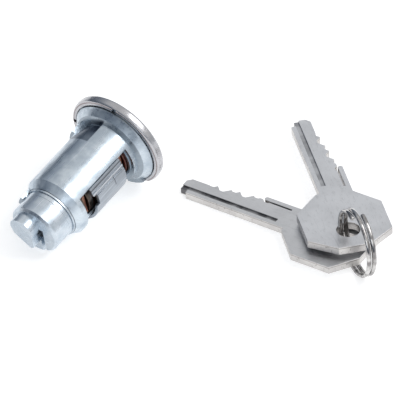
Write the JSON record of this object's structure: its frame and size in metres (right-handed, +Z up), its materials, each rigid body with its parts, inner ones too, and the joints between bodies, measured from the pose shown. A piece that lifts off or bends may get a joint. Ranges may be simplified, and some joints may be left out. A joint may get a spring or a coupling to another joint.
{
  "type": "wafer lock cylinder with keys",
  "caption": "Round wafer lock cylinder with a capped flange and a slotted drive tail, lying beside its flat keys with octagonal bows on a split ring.",
  "frame": {"origin": "middle of the set's footprint, on the surface it lies on", "axes": "+X from the lock towards the keys, +Y away from the viewer, +Z up"},
  "size_m": [0.0976, 0.0622, 0.0274],
  "materials": {
    "zinc": "bright zinc plate on a die casting, satin with a bluish tint",
    "core_zinc": "plain die-cast zinc, slightly dull",
    "stainless_cap": "pressed stainless sheet, polished, with a rolled lip",
    "strip_steel": "brushed steel, duller than the barrel",
    "wafer_brass": "stamped brass, tarnished reddish brown",
    "spring_steel": "drawn spring steel wire",
    "key_nickel": "satin nickel plate with polished edges",
    "ring_steel": "bright nickel-plated spring wire"
  },
  "bodies": {
    "lock_body": {"housing": "zinc", "face_cap": "stainless_cap", "cover_strip": "strip_steel"},
    "plug_body": {"plug": "core_zinc", "stop_ring": "zinc", "drive_tail": "zinc", "tail_pin": "spring_steel", "wafer_spring_1": "spring_steel", "wafer_spring_2": "spring_steel", "wafer_spring_3": "spring_steel", "wafer_spring_4": "spring_steel", "wafer_spring_5": "spring_steel", "wafer_spring_6": "spring_steel"},
    "key_ring_body": {"key_ring": "ring_steel"},
    "key_1_body": {"key_1": "key_nickel"},
    "key_2_body": {"key_2": "key_nickel"},
    "wafer_1_body": {"wafer_1": "wafer_brass"},
    "wafer_2_body": {"wafer_2": "wafer_brass"},
    "wafer_3_body": {"wafer_3": "wafer_brass"},
    "wafer_4_body": {"wafer_4": "wafer_brass"},
    "wafer_5_body": {"wafer_5": "wafer_brass"},
    "wafer_6_body": {"wafer_6": "wafer_brass"}
  },
  "joints": [
    {"name": "plug_turn", "type": "hinge", "parent": "lock_body", "child": "plug_body", "pos_m": [-0.02138, 0.01247, 0.01372], "axis": [0.595, 0.7838, 0.1777], "range_deg": [0, 90]},
    {"name": "wafer_1_slide", "type": "slide", "parent": "plug_body", "child": "wafer_1_body", "axis": [-0.7809, 0.6161, -0.1029], "range_m": [-0.001, 0]},
    {"name": "wafer_2_slide", "type": "slide", "parent": "plug_body", "child": "wafer_2_body", "axis": [-0.7809, 0.6161, -0.1029], "range_m": [-0.001, 0]},
    {"name": "wafer_3_slide", "type": "slide", "parent": "plug_body", "child": "wafer_3_body", "axis": [-0.7809, 0.6161, -0.1029], "range_m": [-0.001, 0]},
    {"name": "wafer_4_slide", "type": "slide", "parent": "plug_body", "child": "wafer_4_body", "axis": [-0.7809, 0.6161, -0.1029], "range_m": [-0.001, 0]},
    {"name": "wafer_5_slide", "type": "slide", "parent": "plug_body", "child": "wafer_5_body", "axis": [-0.7809, 0.6161, -0.1029], "range_m": [-0.001, 0]},
    {"name": "wafer_6_slide", "type": "slide", "parent": "plug_body", "child": "wafer_6_body", "axis": [-0.7809, 0.6161, -0.1029], "range_m": [-0.001, 0]},
    {"name": "key_set_lift", "type": "slide", "parent": "lock_body", "child": "key_ring_body", "axis": [0, 0, 1], "range_m": [0, 0.06]},
    {"name": "key_1_swing", "type": "hinge", "parent": "key_ring_body", "child": "key_1_body", "pos_m": [0.03663, -0.016, 0.0032], "axis": [-0.0375, 0.0228, 0.999], "range_deg": [-15, 20]},
    {"name": "key_2_swing", "type": "hinge", "parent": "key_ring_body", "child": "key_2_body", "pos_m": [0.03748, -0.01544, 0.00633], "axis": [-0.0169, 0.0677, 0.9976], "range_deg": [-60, 15]}
  ]
}
